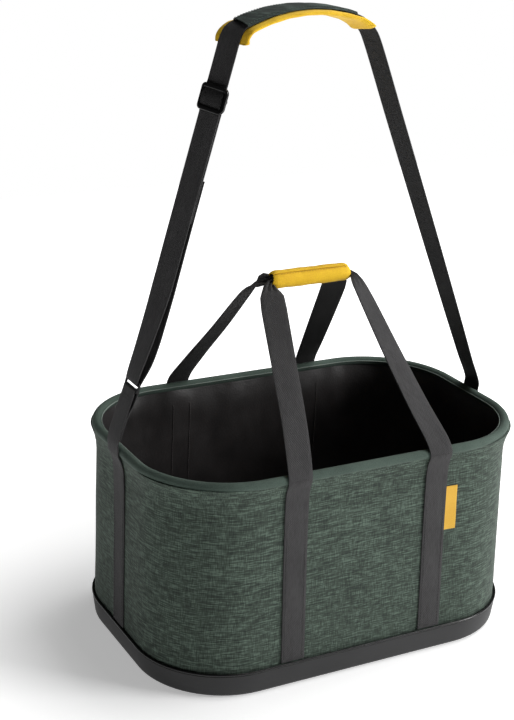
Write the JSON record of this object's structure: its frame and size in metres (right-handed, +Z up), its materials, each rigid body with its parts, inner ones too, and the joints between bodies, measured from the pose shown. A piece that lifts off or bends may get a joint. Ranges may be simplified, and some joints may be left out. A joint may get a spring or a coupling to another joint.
{
  "type": "soft-sided carry basket",
  "caption": "Soft-sided oval carry basket with moulded base tray, wire rim, two webbing handles closed by a padded grip, and an adjustable padded shoulder strap.",
  "frame": {"origin": "centre of the tray's underside, which is the bottom centre of the whole object's box", "axes": "+X along the basket's length, -Y is the long side with the label tab (front), +Z up"},
  "size_m": [0.5324, 0.354, 0.802],
  "materials": {
    "tray": "moulded matte",
    "piping": "extruded cord",
    "board": "extruded sheet",
    "wall_foam": "closed-cell foam sheet",
    "melange_fabric": "heather woven",
    "lining": "coated woven",
    "rim_binding": "plain woven",
    "wire": "drawn",
    "webbing": "polypropylene webbing",
    "yellow_cover": "padded woven",
    "foam": "closed-cell foam",
    "pad_top": "heather woven",
    "label": "folded woven tab",
    "buckle": "moulded acetal"
  },
  "bodies": {
    "basket": {"base_tray": "tray", "base_board": "board", "floor_lining": "lining", "base_piping": "piping", "wall_fabric": "melange_fabric", "wall_board": "wall_foam", "wall_lining": "lining", "rim_wire": "wire", "rim_binding": "rim_binding", "front_strap_left": "webbing", "front_strap_right": "webbing", "back_strap_left": "webbing", "back_strap_right": "webbing", "end_strap_left": "webbing", "end_strap_right": "webbing", "label_tab": "label"},
    "front_handle": {"front_handle_webbing": "webbing", "front_grip_cover": "yellow_cover", "front_grip_foam": "foam"},
    "back_handle": {"back_handle_webbing": "webbing", "back_grip_cover": "yellow_cover", "back_grip_foam": "foam"},
    "shoulder_strap": {"anchor_ring": "buckle", "anchor_loop": "webbing", "strap_leg_left": "webbing", "strap_wrap": "webbing", "strap_return": "webbing", "strap_over_pad": "webbing", "strap_leg_right": "webbing", "pad_cover": "pad_top", "pad_foam": "foam", "pad_backing": "yellow_cover"},
    "slider": {"slider_frame": "buckle", "strap_sewn_end": "webbing"}
  },
  "joints": [
    {"name": "front_handle_swing", "type": "hinge", "parent": "basket", "child": "front_handle", "pos_m": [0, -0.173, 0.284], "axis": [1, 0, 0], "range_deg": [0, 200]},
    {"name": "back_handle_swing", "type": "hinge", "parent": "basket", "child": "back_handle", "pos_m": [0, 0.173, 0.284], "axis": [-1, 0, 0], "range_deg": [0, 200]},
    {"name": "shoulder_strap_swing", "type": "hinge", "parent": "basket", "child": "shoulder_strap", "pos_m": [0, 0, 0.284], "axis": [1, 0, 0], "range_deg": [-50, 50]},
    {"name": "slider_travel", "type": "slide", "parent": "shoulder_strap", "child": "slider", "axis": [0.2722, 0, 0.9622], "range_m": [-0.076, 0.045]}
  ]
}
